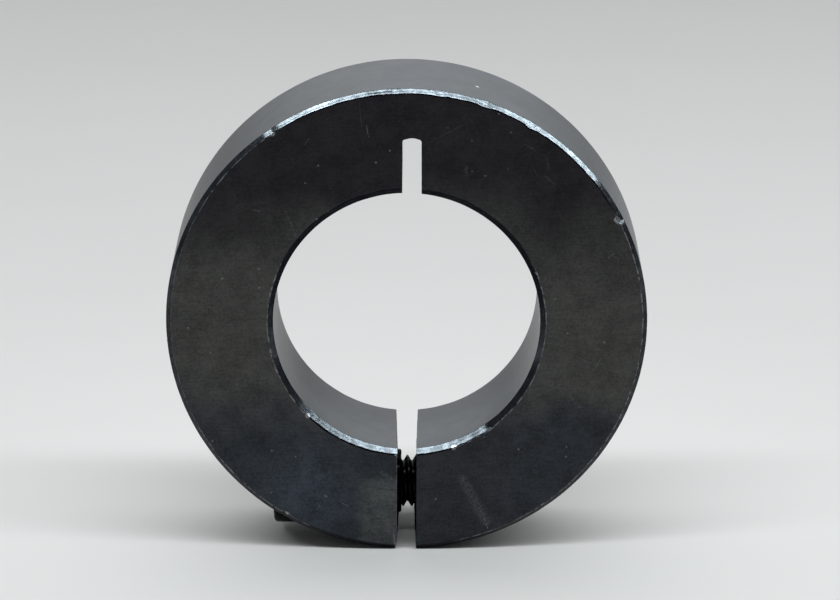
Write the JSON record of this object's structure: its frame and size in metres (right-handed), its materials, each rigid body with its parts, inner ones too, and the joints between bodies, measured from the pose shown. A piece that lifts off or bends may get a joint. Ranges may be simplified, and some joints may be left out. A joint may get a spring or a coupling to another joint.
{
  "type": "shaft collar",
  "caption": "Split clamp collar of blackened steel for a 30 mm shaft, closed by a socket head cap screw across its slit.",
  "frame": {"origin": "centre of the bore, in the middle of the ring's width", "axes": "+Y along the bore, +Z from the clamping slit towards the relief slot, +X from the screw's head towards its tip"},
  "size_m": [0.054, 0.015, 0.054],
  "materials": {
    "ring": "black oxide, worn to bright steel on its edges",
    "screw": "black oxide, oiled"
  },
  "bodies": {
    "head_side": {"ring_head_side": "ring"},
    "thread_side": {"ring_thread_side": "ring"},
    "screw": {"clamp_screw": "screw"}
  },
  "joints": [
    {"name": "screw_turn", "type": "hinge", "parent": "head_side", "child": "screw", "pos_m": [0, 0, -0.0213], "axis": [1, 0, 0], "range_deg": [0, 90]},
    {"name": "jaw_close", "type": "hinge", "parent": "head_side", "child": "thread_side", "pos_m": [0.0006, 0, 0.0214], "axis": [0, 1, 0], "range_deg": [0, 0.335]}
  ],
  "couplings": [
    {"joint": "screw_turn", "follows": "jaw_close", "ratio": 268.29}
  ]
}
